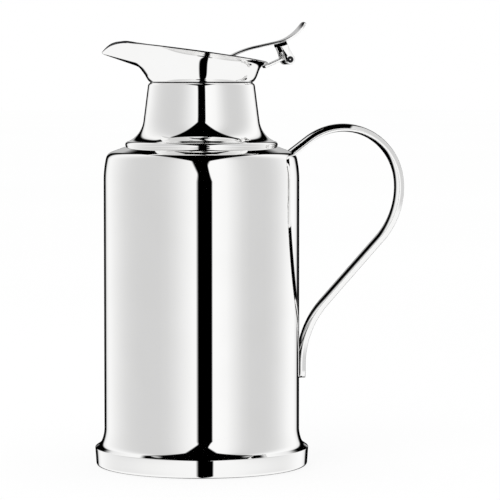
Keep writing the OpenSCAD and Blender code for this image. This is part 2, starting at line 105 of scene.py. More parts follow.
def rounded(corners, facet=15.0):
    """A closed outline with its corners rounded. A corner is (across, up, radius)."""
    result = []
    count = len(corners)
    for i in range(count):
        before, here, after = (Vector(corners[(i + k) % count][:2]) for k in (-1, 0, 1))
        radius = corners[i][2]
        to_before, to_after = before - here, after - here
        angle = to_before.angle(to_after)
        if radius <= 0 or angle > math.radians(179):
            result.append(tuple(here))
            continue
        reach = radius / math.tan(angle / 2)
        reach = min(reach, 0.49 * to_before.length, 0.49 * to_after.length)
        radius = reach * math.tan(angle / 2)
        bisector = (to_before.normalized() + to_after.normalized()).normalized()
        middle = here + bisector * (radius / math.sin(angle / 2))
        first = here + to_before.normalized() * reach - middle
        turn = first.angle_signed(here + to_after.normalized() * reach - middle)
        steps = max(1, math.ceil(abs(math.degrees(turn)) / facet))
        for k in range(steps + 1):
            a = -turn * k / steps
            x = first.x * math.cos(a) - first.y * math.sin(a)
            y = first.x * math.sin(a) + first.y * math.cos(a)
            result.append((middle.x + x, middle.y + y))
    return result


def clamped(share):
    return max(0.0, min(1.0, share))


END_OUT = 0.22  # how far a sheet's softened end stands out, as a share of its thickness
END_CORNER = 0.2  # and how much of the thickness each of its corners takes


def sheet_loop(outer, inner):
    """The closed section of a sheet between two faces, each listed from the same end, with softened ends."""
    def end(a, b, away):
        middle = ((a[0] + b[0]) / 2, (a[1] + b[1]) / 2)
        out = Vector((middle[0] - away[0], middle[1] - away[1])).normalized() * (math.dist(a, b) * END_OUT)
        return [tuple(Vector(p).lerp(Vector(q), END_CORNER) + out) for p, q in ((a, b), (b, a))]

    far_end = end(outer[-1], inner[-1], outer[-2])
    near_end = end(inner[0], outer[0], outer[1])
    return outer + far_end + inner[::-1] + near_end


def walk(start, heading, steps, facet=FACET):
    """Points along straights (length, 0) and bends (radius, turn to the left in degrees).
    A point is (across, up, heading)."""
    x, z, h = start[0], start[1], heading
    path = [(x, z, h)]
    for size, turn in steps:
        if turn == 0:
            count = max(1, math.ceil(size / LONGEST))
            for _ in range(count):
                x += size / count * math.cos(math.radians(h))
                z += size / count * math.sin(math.radians(h))
                path.append((x, z, h))
            continue
        side = math.copysign(1.0, turn)
        centre = (x - side * size * math.sin(math.radians(h)), z + side * size * math.cos(math.radians(h)))
        count = max(2, math.ceil(abs(turn) / facet))
        for k in range(1, count + 1):
            a = h + turn * k / count
            x = centre[0] + side * size * math.sin(math.radians(a))
            z = centre[1] - side * size * math.cos(math.radians(a))
            path.append((x, z, a))
        h += turn
    return path


# ---- Meshes ----


def skin(mesh, rings, wrap=False):
    """Joins a row of closed rings of points with quads.
    The row closes on itself, or its two ends are filled."""
    made = [[mesh.verts.new(p) for p in ring] for ring in rings]
    count = len(made[0])
    for i in range(len(made) if wrap else len(made) - 1):
        a, b = made[i], made[(i + 1) % len(made)]
        for k in range(count):
            n = (k + 1) % count
            mesh.faces.new((a[k], a[n], b[n], b[k]))
    if not wrap:
        for ring in (made[0], made[-1]):
            if (ring[0].co - ring[count // 2].co).length > 1e-7:
                hub = mesh.verts.new(sum((v.co for v in ring), Vector()) / count)
                for k in range(count):
                    mesh.faces.new((ring[k], ring[(k + 1) % count], hub))


def turned(mesh, outline, closed=True, sides=SIDES, place=Matrix.Identity(4)):
    """Turns an outline round the Z axis of place. An open outline starts and ends on the axis."""
    points = dense(outline, closed)
    rings = []
    for radius, z in points:
        angles = [2 * math.pi * k / sides for k in range(sides)]
        rings.append([place @ (Vector((radius * math.cos(a), radius * math.sin(a), z)) * MM) for a in angles])
    skin(mesh, rings, wrap=closed)


def swept(mesh, path, section):
    """Sweeps a section along a path in the XZ plane. section(i) lists (along Y, to the left of the path)."""
    rings = []
    for i, (x, z, heading) in enumerate(path):
        nx, nz = -math.sin(math.radians(heading)), math.cos(math.radians(heading))
        rings.append([Vector((x + nx * off, y, z + nz * off)) * MM for y, off in section(i)])
    skin(mesh, rings)


def slab(mesh, outline, low, high, edge):
    """A side view between two places along Y, with its edges rounded."""
    middle = sum((Vector(p) for p in outline), Vector((0, 0))) / len(outline)
    edge_steps = 4
    rings = []
    for k in range(edge_steps + 1):
        a = math.pi / 2 * k / edge_steps
        rings.append((edge * (1 - math.sin(a)), low + edge * (1 - math.cos(a))))
    rings += [(inset, low + high - y) for inset, y in reversed(rings)]

    def inwards(p, inset):
        to_middle = middle - Vector(p)
        return Vector(p) + to_middle.normalized() * inset

    made = []
    for inset, y in rings:
        moved = [inwards(p, inset) for p in outline]
        made.append([Vector((q.x, y, q.y)) * MM for q in moved])
    skin(mesh, made)


def finish_piece(name, mesh, material, body, nodes, crease=32.0):
    """Makes a mesh a piece of the object that rides on a body and stands in for CAD nodes.
    Edges that turn by more than crease degrees stay sharp."""
    bmesh.ops.remove_doubles(mesh, verts=mesh.verts, dist=1e-7)
    bmesh.ops.dissolve_degenerate(mesh, dist=1e-8, edges=mesh.edges)
    bmesh.ops.recalc_face_normals(mesh, faces=mesh.faces)
    data = bpy.data.meshes.new(name)
    mesh.to_mesh(data)
    mesh.free()
    data.shade_smooth()
    data.set_sharp_from_angle(angle=math.radians(crease))
    data.materials.append(material)
    piece = bpy.data.objects.new(name, data)
    bpy.context.scene.collection.objects.link(piece)
    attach(piece, body)
    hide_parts(*nodes)
    return piece


# ---- Materials ----


def surface(name, dark, light, metallic, rough, rough_spread, grain, relief, coat=0.0, transmission=0.0):
    """A Principled material whose tone, roughness and fine relief come from noise.
    grain is the size of the noise in millimetres and relief the height of its bumps in micrometres."""
    material = bpy.data.materials.new(name)
    material.use_nodes = True
    tree = material.node_tree
    tree.nodes.clear()

    def node(kind, **inputs):
        made = tree.nodes.new(kind)
        for key, value in inputs.items():
            made.inputs[key.replace("_", " ")].default_value = value
        return made

    place = tree.nodes.new("ShaderNodeTexCoord")
    tone_noise = node("ShaderNodeTexNoise", Scale=1.0 / (grain * MM), Detail=4.0, Roughness=0.55)
    fine_noise = node("ShaderNodeTexNoise", Scale=6.0 / (grain * MM), Detail=3.0, Roughness=0.6)
    ramp = tree.nodes.new("ShaderNodeValToRGB")
    ramp.color_ramp.elements[0].position = 0.3
    ramp.color_ramp.elements[0].color = (*dark, 1)
    ramp.color_ramp.elements[1].position = 0.7
    ramp.color_ramp.elements[1].color = (*light, 1)
    spread = tree.nodes.new("ShaderNodeMapRange")
    spread.inputs["To Min"].default_value = max(0.0, rough - rough_spread)
    spread.inputs["To Max"].default_value = rough + rough_spread
    bump = node("ShaderNodeBump", Strength=1.0, Distance=relief * 1e-6)
    shader = node("ShaderNodeBsdfPrincipled", Metallic=metallic)
    shader.inputs["Coat Weight"].default_value = coat
    shader.inputs["Transmission Weight"].default_value = transmission
    out = tree.nodes.new("ShaderNodeOutputMaterial")
    tree.links.new(place.outputs["Object"], tone_noise.inputs["Vector"])
    tree.links.new(place.outputs["Object"], fine_noise.inputs["Vector"])
    tree.links.new(tone_noise.outputs["Fac"], ramp.inputs["Fac"])
    tree.links.new(fine_noise.outputs["Fac"], spread.inputs["Value"])
    tree.links.new(fine_noise.outputs["Fac"], bump.inputs["Height"])
    tree.links.new(ramp.outputs["Color"], shader.inputs["Base Color"])
    tree.links.new(spread.outputs["Result"], shader.inputs["Roughness"])
    tree.links.new(bump.outputs["Normal"], shader.inputs["Normal"])
    tree.links.new(shader.outputs["BSDF"], out.inputs["Surface"])
    return material


silver = surface("silver", (0.972, 0.970, 0.964), (0.990, 0.988, 0.984), 1.0, 0.016, 0.006, 24.0, 0.01)
steel = surface("steel", (0.52, 0.53, 0.55), (0.66, 0.67, 0.69), 1.0, 0.2, 0.06, 6.0, 1.0)
# The dark steel below is the hinge pin's own colour. The spout collar also uses it for painted shade in its
# joint's groove and for a painted dark reflection on the top edge of its rim.
dark_steel_and_painted_shade = surface("dark_steel_and_painted_shade", (0.020, 0.020, 0.022), (0.035, 0.035, 0.038), 1.0, 0.25, 0.06, 4.0, 1.0)
flask_glass = surface("silvered_glass", (0.78, 0.80, 0.82), (0.90, 0.91, 0.93), 1.0, 0.06, 0.03, 30.0, 0.5,
                      coat=1.0)
rubber = surface("rubber", (0.018, 0.018, 0.020), (0.040, 0.040, 0.043), 0.0, 0.62, 0.1, 3.0, 12.0)
plastic_black = surface("plastic_black", (0.020, 0.020, 0.022), (0.034, 0.034, 0.037), 0.0, 0.38, 0.06,
                        5.0, 6.0)
plastic_white = surface("plastic_white", (0.74, 0.735, 0.71), (0.84, 0.835, 0.81), 0.0, 0.36, 0.06, 7.0, 5.0)
foam = surface("foam", (0.62, 0.57, 0.44), (0.78, 0.73, 0.60), 0.0, 0.85, 0.1, 1.6, 60.0)

# ---- Body, foot, bead and neck ----

# The wall leans in near its top, turns a round corner and runs on as a sloping shoulder.
SHOULDER_A = 20.0
shoulder_n = Vector((math.sin(math.radians(SHOULDER_A)), math.cos(math.radians(SHOULDER_A))))
BODY_SHEET = 0.9  # thickness of its sheet
BODY_WALL_TOP = 168.0
LEAN_R = 60.0
CORNER_R = 5.5
OPENING_R = 41.0
body_r = body_high.x
lean_c = Vector((body_r - LEAN_R, BODY_WALL_TOP))
opening_z = body_high.z
corner_off = shoulder_n.dot(Vector((OPENING_R, opening_z))) - CORNER_R - shoulder_n.dot(lean_c)
corner_c = (lean_c + corner_off * shoulder_n
            + math.sqrt((LEAN_R - CORNER_R) ** 2 - corner_off ** 2) * Vector((shoulder_n.y, -shoulder_n.x)))
corner_dir = math.degrees(math.atan2(corner_c.y - lean_c.y, corner_c.x - lean_c.x))


def body_face(inset):
    """Outline of the wall from the opening down, moved inwards by inset."""
    drop = inset / math.cos(math.radians(SHOULDER_A))
    points = [(OPENING_R, opening_z - drop)]
    points += arc(corner_c, CORNER_R - inset, 90 - SHOULDER_A, corner_dir)
    points += arc(lean_c, LEAN_R - inset, corner_dir, 0, 0.5)[1:]
    return dense(points + [(body_r - inset, body_low.z + CORNER_R)])


mesh = bmesh.new()
turned(mesh, sheet_loop(body_face(0), body_face(BODY_SHEET)))
finish_piece("body", mesh, silver, "jug", ["body_shell"])

FOOT_FLARE = [(19.8, 23), (5.1, 34), (2.3, 0), (0.55, -61)]  # bends and straights from the wall down
FLARE_TOP = 22.0
FOOT_ROUND = 1.6
SOLE_INNER = 56.8  # radius where the flat sole ends
# height, and share of the way from the sole to the wall's inside
FOOT_INSIDE = [(3.2, 0.0), (3.6, 1.0), (FLARE_TOP - 1, 1.0)]
SOLE_INSET = 2.2
foot_r = foot_high.x
sole_r = foot_r - SOLE_INSET
flare = [(x, z) for x, z, _ in walk((body_r, FLARE_TOP), -90, FOOT_FLARE)]
mesh = bmesh.new()
flare_reach = max(x for x, z in flare) - body_r
foot = [(body_r + (x - body_r) * (foot_r - body_r) / flare_reach, z) for x, z in flare]
foot += arc((sole_r, FOOT_ROUND), FOOT_ROUND, 0, -90, 6)
foot += [(SOLE_INNER + 0.4, 0), (SOLE_INNER, 0.4)]
foot += [(SOLE_INNER + (body_r - BODY_SHEET - SOLE_INNER) * share, z) for z, share in FOOT_INSIDE]
foot += [(body_r - BODY_SHEET, FLARE_TOP)]
turned(mesh, foot)
finish_piece("foot", mesh, silver, "jug", ["foot_ring"], crease=40)


def slope_z(radius):
    """Height of the shoulder's slope."""
    return opening_z - (radius - OPENING_R) * math.tan(math.radians(SHOULDER_A))


BEAD_HALF = 1.9
bead_c = (bead_high.x - BEAD_HALF, bead_high.z - 1.6)
mesh = bmesh.new()
bead = arc(bead_c, BEAD_HALF, 122, -66, 6)
bead += [(OPENING_R + 0.2, slope_z(OPENING_R) - BURIED), (OPENING_R - 0.3, bead_c[1]),
         (OPENING_R + 0.1, bead_high.z)]
turned(mesh, bead)
finish_piece("shoulder_bead", mesh, silver, "jug", ["shoulder_bead"], crease=50)

# The neck narrows upwards from its skirt and ends in a small round under the collar.
NECK_R = 31.4
NECK_TAPER = 7.3
NECK_ROUND = 2.5
NECK_ROUND_Z = 223.2
NECK_SHEET = 1.0  # thickness of its sheet
SKIRT_R = 15.0
SKIRT_Z = 202.6
skirt_top_r = NECK_R + (NECK_ROUND_Z - SKIRT_Z) * math.tan(math.radians(NECK_TAPER))
skirt_c = (skirt_top_r + SKIRT_R * math.cos(math.radians(NECK_TAPER)),
           SKIRT_Z + SKIRT_R * math.sin(math.radians(NECK_TAPER)))
skirt_end = -180 + math.degrees(math.asin((skirt_c[1] - neck_low.z) / SKIRT_R))


def neck_face(inset):
    """Outline of the neck from the top down, moved inwards by inset."""
    crown_c = (NECK_R - NECK_ROUND * math.cos(math.radians(NECK_TAPER)),
               NECK_ROUND_Z - NECK_ROUND * math.sin(math.radians(NECK_TAPER)))
    top_a = math.degrees(math.asin((neck_high.z - crown_c[1]) / NECK_ROUND))
    points = arc(crown_c, NECK_ROUND - inset, top_a, NECK_TAPER)
    points += arc(skirt_c, SKIRT_R + inset, NECK_TAPER - 180, skirt_end)
    return dense(points)


mesh = bmesh.new()
turned(mesh, sheet_loop(neck_face(0), neck_face(NECK_SHEET)))
finish_piece("neck", mesh, silver, "jug", ["neck_shell"])

# ---- Spout collar: a turned bowl that runs smoothly into a beak, cut along the rim line ----

# The bowl's outline under the beak, from its foot up, is an arc, a flare and a lip. Names in _A are degrees.
BOWL_LOW_R = 30.6
BOWL_LOW = 225.6
BOWL_R = 13.0
BOWL_START_A = 42.0
BOWL_MID_A = 24.0
BOWL_FLARE, BOWL_FLARE_A = 7.5, 54.0
BOWL_LIP_A = 63.0
BOWL_SOFT = 0.06  # larger values round the step from the flare to the lip more
# Elsewhere the bowl bulges a little above its foot, rises steeply and turns out at the lip.
BACK_BULGE, BACK_BULGE_Z = 1.2, 1.5
BACK_SLOPE = 0.30
LIP_OUT, LIP_DEEP = 4.0, 1.4
FRONT_FROM, FRONT_FULL = 0.35, 0.8  # where the back's shape gives way to the front's
# The rim line, seen from the side, falls from the beak to the hinge.
RIM_A = 7.9
ROLL_R = 0.75  # radius of the rim's rolled edge
ROLL_TIP_R = 1.45  # and of the roll at the beak
RIM_BACK = (38.9, 237.0 - ROLL_R)  # back end of the straight rim line
RIM_TURN_X = -43.5  # where the line turns over the beak
RIM_PEAK_R = 16.5
# The beak is a cone whose axis rises from its tip inwards.
BEAK_A = 33.0  # half its angle
BEAK_TILT = 14.0
BEAK_TIP_R = 2.0
BEAK_TIP_Z = 243.5
BEAK_LENGTH = 44.0
BEAK_MERGE_FROM = 21.0  # from here on its sides bend in towards the bowl
BEAK_MERGE = 0.03  # by this share of the squared distance
BEAK_BLEND = 1.6  # width of the round between beak and bowl
BEAK_SIDE_A = 22.0  # below level, where the beak's round underside runs on into flat sides
COLLAR_T = 1.1  # thickness of its sheet
FLOOR_R = 24.2
FLOOR_T = 1.2
GROOVE_R = 30.1  # radius of the narrow joint on the neck
GROOVE_SUNK = 0.2
beak_tip_x = collar_low.x


def polar(centre, radius, angle):
    a = math.radians(angle)
    return (centre[0] + radius * math.cos(a), centre[1] + radius * math.sin(a))


bowl_c = polar((BOWL_LOW_R, BOWL_LOW), BOWL_R, 180 - BOWL_START_A)
bowl_mid = polar(bowl_c, BOWL_R, -BOWL_MID_A)
bowl_flare_end = polar(bowl_mid, BOWL_FLARE, BOWL_FLARE_A)
rim_turn_z = RIM_BACK[1] + (RIM_BACK[0] - RIM_TURN_X) * math.tan(math.radians(RIM_A))
rim_peak_c = polar((RIM_TURN_X, rim_turn_z), RIM_PEAK_R, -90 - RIM_A)


def back_radius(z, depth, inset):
    """Radius of the bowl away from the beak: steep, then turned out just under the rim."""
    rise = max(0.0, z - BOWL_LOW)
    bulge = BACK_BULGE * (1 - math.exp(-rise / BACK_BULGE_Z))
    return BOWL_LOW_R + bulge + BACK_SLOPE * rise + LIP_OUT * math.exp(-depth / LIP_DEEP) - inset


def bowl_radius(z, inset):
    """Radius of the bowl under the beak at height z. The flare and the lip meet in a short blend."""
    if z < bowl_mid[1] + inset * math.sin(math.radians(BOWL_MID_A)):
        return bowl_c[0] + math.sqrt(max(0.0, (BOWL_R - inset) ** 2 - (z - bowl_c[1]) ** 2))
    flare = bowl_mid[0] + (z - bowl_mid[1]) / math.tan(math.radians(BOWL_FLARE_A))
    lip = bowl_flare_end[0] + (z - bowl_flare_end[1]) / math.tan(math.radians(BOWL_LIP_A))
    gap = flare - lip
    soft = 0.5 * (flare + lip) - 0.5 * math.sqrt(gap * gap + BOWL_SOFT)
    return soft - inset / math.sin(math.radians(BOWL_FLARE_A))


def rim_height(x):
    """Height of the rim line: straight from the back, then an arc over the beak."""
    if x > RIM_TURN_X:
        return RIM_BACK[1] + (RIM_BACK[0] - x) * math.tan(math.radians(RIM_A))
    return rim_peak_c[1] + math.sqrt(max(0.0, RIM_PEAK_R ** 2 - (x - rim_peak_c[0]) ** 2))


def outside(x, y, z, inset):
    """Below zero inside the joined bowl and beak, in millimetres."""
    radius = math.hypot(x, y)
    front = clamped((-x / max(radius, 1e-6) - FRONT_FROM) / (FRONT_FULL - FRONT_FROM))
    front = front * front * (3 - 2 * front)
    depth = max(0.0, rim_height(x) - z)
    wall = back_radius(z, depth, inset)
    if front > 0:
        wall += (bowl_radius(z, inset) - wall) * front
    bowl = radius - wall
    tilt = math.radians(BEAK_TILT)
    along = (x - beak_tip_x) * math.cos(tilt) + (z - BEAK_TIP_Z) * math.sin(tilt)
    below = (x - beak_tip_x) * math.sin(tilt) - (z - BEAK_TIP_Z) * math.cos(tilt)
    side = math.radians(BEAK_SIDE_A)
    if below > abs(y) * math.tan(side):
        across = math.hypot(y, below)
    else:
        across = abs(y) * math.cos(side) + below * math.sin(side)
    half = math.radians(BEAK_A)
    beak = (across - BEAK_TIP_R - along * math.tan(half)) * math.cos(half) + inset
    beak += BEAK_MERGE * max(0.0, along - BEAK_MERGE_FROM) ** 2
    beak = max(beak, inset - along, along - BEAK_LENGTH)
    h = clamped(0.5 + 0.5 * (beak - bowl) / BEAK_BLEND)
    return beak + (bowl - beak) * h - BEAK_BLEND * h * (1 - h)


def collar_radius(angle, z, inset):
    """Where the wall is in a direction from the axis, found by halving."""
    c, s = math.cos(angle), math.sin(angle)
    high = -beak_tip_x + 2.0
    low = high
    while low > 20 and outside(low * c, low * s, z, inset) > 0:
        high = low
        low -= 0.5
    for _ in range(18):
        middle = (low + high) / 2
        if outside(middle * c, middle * s, z, inset) > 0:
            high = middle
        else:
            low = middle
    return (low + high) / 2


def rim_top(angle, inset):
    """Height where the wall meets the rim line in a direction from the axis."""
    low, high = BOWL_LOW, rim_turn_z + 2
    for _ in range(16):
        middle = (low + high) / 2
        if middle < rim_height(collar_radius(angle, middle, inset) * math.cos(angle)):
            low = middle
        else:
            high = middle
    return low


def collar_angles():
    """Directions from the axis, closest together across the beak's tip."""
    angles = []
    a = 0.0
    while a < 180.0:
        angles.append(a)
        a += 0.5 if a > 166 else 1.0 if a > 140 else 2.0
    return [math.radians(v) for v in angles + [180.0] + [360.0 - v for v in reversed(angles[1:])]]


WALL_ROWS = 40
directions = collar_angles()
tops = {inset: [rim_top(a, inset) for a in directions] for inset in (0.0, COLLAR_T)}
floor_top = BOWL_LOW + FLOOR_T


def wall_ring(share, inset, low):
    """A ring of one face of the wall, at a share of the way from low up to the rim line."""
    ring = []
    for a, top in zip(directions, tops[inset]):
        z = low + (top - low) * share
        r = collar_radius(a, z, inset)
        ring.append((r * math.cos(a), r * math.sin(a), z))
    return ring


def flat_ring(radius, z):
    return [(radius * math.cos(a), radius * math.sin(a), z) for a in directions]


outer_rows = [wall_ring(k / WALL_ROWS, 0.0, BOWL_LOW) for k in range(WALL_ROWS + 1)]
inner_rows = [wall_ring(1 - k / WALL_ROWS, COLLAR_T, floor_top) for k in range(WALL_ROWS + 1)]
ROLL_FACETS = 14
ROLL_BEVEL = 1.8  # 1 makes the edge round, 2 gives it two flat bevels
ROLL_LOW_A = 20.0  # how far below level the roll starts on both faces
ROLL_GROWS = (-35.5, -47.5)  # along X, where the roll grows towards the beak
ROLL_FADES = 5.0  # and how far from the beak's tip it shrinks again
RIM_DARK_REFLECTION_FROM = 0.1  # how far above the rim line the painted dark reflection starts
rim_edge, rim_inner = outer_rows[-1], inner_rows[0]


def roll(share_turn):
    """A ring of the rolled edge, from the outer face (0) over the top (0.5) to the inner face (1)."""
    ring = []
    for a, b in zip(rim_edge, rim_inner):
        middle = (Vector(a) + Vector(b)) / 2
        out = Vector((a[0] - b[0], a[1] - b[1], 0)).normalized()
        turn = math.radians(-ROLL_LOW_A + (180 + 2 * ROLL_LOW_A) * share_turn)
        grown = clamped((a[0] - ROLL_GROWS[0]) / (ROLL_GROWS[1] - ROLL_GROWS[0]))
        grown *= clamped((a[0] - beak_tip_x) / ROLL_FADES)
        size = ROLL_R + (ROLL_TIP_R - ROLL_R) * grown
        c, s = (math.copysign(abs(v) ** ROLL_BEVEL, v) for v in (math.cos(turn), math.sin(turn)))
        ring.append(tuple(middle + out * (size * c) + Vector((0, 0, size * s))))
    return ring


joint_z = collar_low.z - GROOVE_SUNK
rows = [flat_ring(FLOOR_R, floor_top), flat_ring(FLOOR_R, joint_z), flat_ring(GROOVE_R, joint_z),
        flat_ring(GROOVE_R, BOWL_LOW)]
rows += outer_rows[:-1] + [roll(k / ROLL_FACETS) for k in range(ROLL_FACETS + 1)] + inner_rows[1:]
mesh = bmesh.new()
skin(mesh, [[Vector(p) * MM for p in row] for row in rows], wrap=True)
collar = finish_piece("spout_collar", mesh, silver, "jug", ["spout_collar"], crease=40)
collar.data.materials.append(dark_steel_and_painted_shade)  # painted shade in the joint's groove and a painted dark reflection along the rim's top edge, both in the dark steel material
# Faces in the groove get painted shade, and faces on the rim's top edge get a painted dark reflection.
for face in collar.data.polygons:
    middle = face.center / MM
    painted_groove_shade = middle.z < BOWL_LOW - 0.01 and math.hypot(middle.x, middle.y) > GROOVE_R - 0.2
    painted_rim_reflection = middle.z > rim_height(middle.x) + RIM_DARK_REFLECTION_FROM and face.normal.z > 0
    if painted_groove_shade or painted_rim_reflection:
        face.material_index = 1

# ---- Handle: a flat strip inside, a rounded bar outside ----

# The path is the outer face of the outer bar, from its lower end up to the shoulder.
MOULDING_T = 3.0
HANDLE_T = 4.8  # thickness of both bars together
HANDLE_STEPS = [(8, 0), (53, -42), (50.5, 0), (47.5, 48), (37, 121), (14, 0)]
STRAP_CROWN_R = 45.0  # of the slightly crowned inner face
MOULDING_SIDE_A = 30.0  # lean of its two sides
MOULDING_SIDE = 2.0
MOULDING_FOOT = 0.25
NARROWEST = 0.06  # share of its width that a bar keeps at its very end
handle_start = (body_r + HANDLE_T, strap_low.z)
handle_path = walk(handle_start, 90, HANDLE_STEPS)
strap_half = strap_high.y
moulding_half = moulding_high.y


def rounded_box(half_w, low, high, radius, facet=22.5):
    corners = [(-half_w, low, radius), (half_w, low, radius), (half_w, high, radius), (-half_w, high, radius)]
    return rounded(corners, facet)


def path_lengths(path):
    """Distance along a path from its start to each of its points."""
    lengths = [0.0]
    for a, b in zip(path, path[1:]):
        lengths.append(lengths[-1] + math.hypot(b[0] - a[0], b[1] - a[1]))
    return lengths


def end_share(distance, reach):
    """How much of its width a bar keeps at this distance from a rounded end."""
    if distance >= reach:
        return 1.0
    return math.sqrt(max(0.0, 1 - (1 - distance / reach) ** 2))


def close_stations(reach):
    """Distances from a rounded end, closest together at the end."""
    return [reach * (1 - math.cos(math.pi / 2 * k / 10)) for k in range(10)]


def finer(path, reach):
    """The same path with close stations near its start, where an end is rounded."""
    x, z, h = path[0]
    near = [(x + s * math.cos(math.radians(h)), z + s * math.sin(math.radians(h)), h)
            for s in close_stations(reach)]
    lengths = path_lengths(path)
    return near + [p for p, s in zip(path, lengths) if s >= reach]


def bar(path, half, low, high, section, reach):
    """A bar along a path with a rounded end at the path's start."""
    path = finer(path, reach)
    lengths = path_lengths(path)
    outline = section(half, low, high)

    def at(i):
        share = max(NARROWEST, end_share(lengths[i], reach))
        return [(y * share, off) for y, off in outline]

    mesh = bmesh.new()
    swept(mesh, path, at)
    return mesh


def strap_section(half, low, high):
    """A strip with softened edges whose inner face is slightly crowned."""
    corners = [(-half, low, 0.3), (half, low, 0.3)]
    for k in range(17):
        y = half * (1 - k / 8)
        corners.append((y, high - y * y / (2 * STRAP_CROWN_R), 0.3 if k in (0, 16) else 0))
    return rounded(corners, 9.0)


def moulding_section(half, low, high):
    """Flat where it meets the strip, with leaning sides and an arched outer face."""
    foot_z = high - MOULDING_FOOT
    side_z = foot_z - MOULDING_SIDE
    arch_half = half - MOULDING_SIDE * math.tan(math.radians(MOULDING_SIDE_A))
    corners = [(-half, high + 0.1, 0), (-half, foot_z, 0.2)]
    for k in range(13):
        y = arch_half * (k / 6 - 1)
        corners.append((y, low + side_z * (y / arch_half) ** 2, 0.6 if k in (0, 12) else 0))
    return rounded(corners + [(half, foot_z, 0.2), (half, high + 0.1, 0)], 6.0)


strap = bar(handle_path, strap_half, MOULDING_T, HANDLE_T, strap_section, 3.0)
finish_piece("handle_strap", strap, silver, "jug", ["handle_strap"], crease=40)
moulding = bar(handle_path, moulding_half, 0.0, MOULDING_T, moulding_section, 4.0)
finish_piece("handle_moulding", moulding, silver, "jug", ["handle_moulding"], crease=50)

# ---- Hinge ----

hinge = Vector(hinge_place["pos_m"])
hinge_x, hinge_z = hinge.x / MM, hinge.z / MM
PIN_R = 1.6
KNUCKLE_R = 2.8
KNUCKLE_HALF = 6.5
EAR_R = 2.9
EAR_T = 2.5
EAR_LEAN = 23.6  # degrees to the left of upright
EAR_TOP = 13.0
EAR_TOP_HALF = 2.2
ARM_A = 24.0  # slope of the arm, from the pin down to the collar
ARM_T = 1.5
ARM_HALF = 5.0
ARM_LENGTH = 14.6
ARM_SUNK = 0.3
PIN_GAP = 0.05
across_y = Matrix.Translation(hinge) @ Matrix.Rotation(math.radians(90), 4, "X")

mesh = bmesh.new()
knuckle = [(PIN_R + PIN_GAP, -KNUCKLE_HALF, 0.15), (KNUCKLE_R, -KNUCKLE_HALF, 0.35),
           (KNUCKLE_R, KNUCKLE_HALF, 0.35), (PIN_R + PIN_GAP, KNUCKLE_HALF, 0.15)]
turned(mesh, rounded(knuckle), sides=64, place=across_y)
arm_start = polar((hinge_x, hinge_z), KNUCKLE_R - ARM_SUNK - ARM_T / 2, 90 + ARM_A)
arm_path = walk(arm_start, 180 + ARM_A, [(ARM_LENGTH, 0)])
swept(mesh, arm_path, lambda i: rounded_box(ARM_HALF, -ARM_T / 2, ARM_T / 2, 0.5))
finish_piece("hinge_bracket", mesh, silver, "jug", ["hinge_bracket"], crease=40)

mesh = bmesh.new()
pin_half = pin_high.y
HEAD_R = 2.0
HEAD_HIGH = 0.35
DIMPLE_R = 0.5
head_top = pin_half + HEAD_HIGH
head = [(0, head_top - 0.45), (DIMPLE_R * 0.6, head_top - 0.4), (DIMPLE_R, head_top),
        (HEAD_R - 0.5, head_top), (HEAD_R - 0.1, pin_half + 0.15), (HEAD_R, pin_half - 0.1),
        (PIN_R, pin_half - 0.15)]
turned(mesh, [(r, -z) for r, z in head] + head[::-1], closed=False, sides=48, place=across_y)
finish_piece("hinge_pin", mesh, dark_steel_and_painted_shade, "lid", ["hinge_pin"], crease=40)

LEVER_T = 1.4
LEVER_STEPS = [(9, 0), (10, 42), (20, -15.3), (9, 0), (54, -14.4), (13.5, 0), (25, 47.2)]
lever_start = (lever_low.x, cover_high.z + LEVER_T / 2)
lever_path = walk(lever_start, 0, LEVER_STEPS)


def lever_height(x):
    """Height of the middle of the lever's thickness."""
    for a, b in zip(lever_path, lever_path[1:]):
        if a[0] <= x <= b[0]:
            return a[1] + (b[1] - a[1]) * (x - a[0]) / (b[0] - a[0])
    return lever_path[-1][1]


def ear_outline():
    """A round eye at the pin with a tapering arm that leans up to the middle of the lever's thickness."""
    lean = math.radians(EAR_LEAN)

    def place(x, z):
        return (hinge_x + x * math.cos(lean) - z * math.sin(lean),
                hinge_z + x * math.sin(lean) + z * math.cos(lean))

    eye = [place(*polar((0, 0), EAR_R, a)) for a in range(178, 363, 8)]

    def top(x):
        reach = EAR_TOP
        while place(x, reach)[1] > lever_height(place(x, reach)[0]):
            reach -= 0.1
        return reach

    sides = []
    for x in (EAR_TOP_HALF, -EAR_TOP_HALF):
        sides.append([place(x, top(x) * k / 4) for k in range(2, 5)])
    return eye + sides[0] + sides[1][::-1]


EAR_EDGE = 0.35
WEB_LOW = 5.6
WEB_HIGH = 10.6
SADDLE_FROM, SADDLE_TO = -8.3, -1.6  # the block under the lever's root, along X from the hinge
SADDLE_T = 2.4
SADDLE_OUT = (0.05, 0.8)  # how far it stands out past the ears at its two ends
ear_out = yoke_high.y
mesh = bmesh.new()
for side in (-1, 1):
    low, high = sorted((side * (ear_out - EAR_T), side * ear_out))
    slab(mesh, ear_outline(), low, high, EAR_EDGE)
web_path = walk(polar((hinge_x, hinge_z), WEB_LOW, 90 + EAR_LEAN), 90 + EAR_LEAN, [(WEB_HIGH - WEB_LOW, 0)])
swept(mesh, web_path, lambda i: rounded_box(ear_out - 1, -EAR_TOP_HALF + 0.15, EAR_TOP_HALF - 0.15, 0.4))
saddle_path = [(x, z - (LEVER_T + SADDLE_T) / 2 + 0.2, h) for x, z, h in lever_path
               if SADDLE_FROM < x - hinge_x < SADDLE_TO]
saddle_grows = (SADDLE_OUT[1] - SADDLE_OUT[0]) / (len(saddle_path) - 1)
saddle_half = [ear_out + SADDLE_OUT[0] + saddle_grows * k for k in range(len(saddle_path))]
swept(mesh, saddle_path, lambda i: rounded_box(saddle_half[i], -SADDLE_T / 2, SADDLE_T / 2, 0.3, 4.5))
finish_piece("hinge_yoke", mesh, silver, "lid", ["hinge_yoke"], crease=40)

# ---- Lid ----

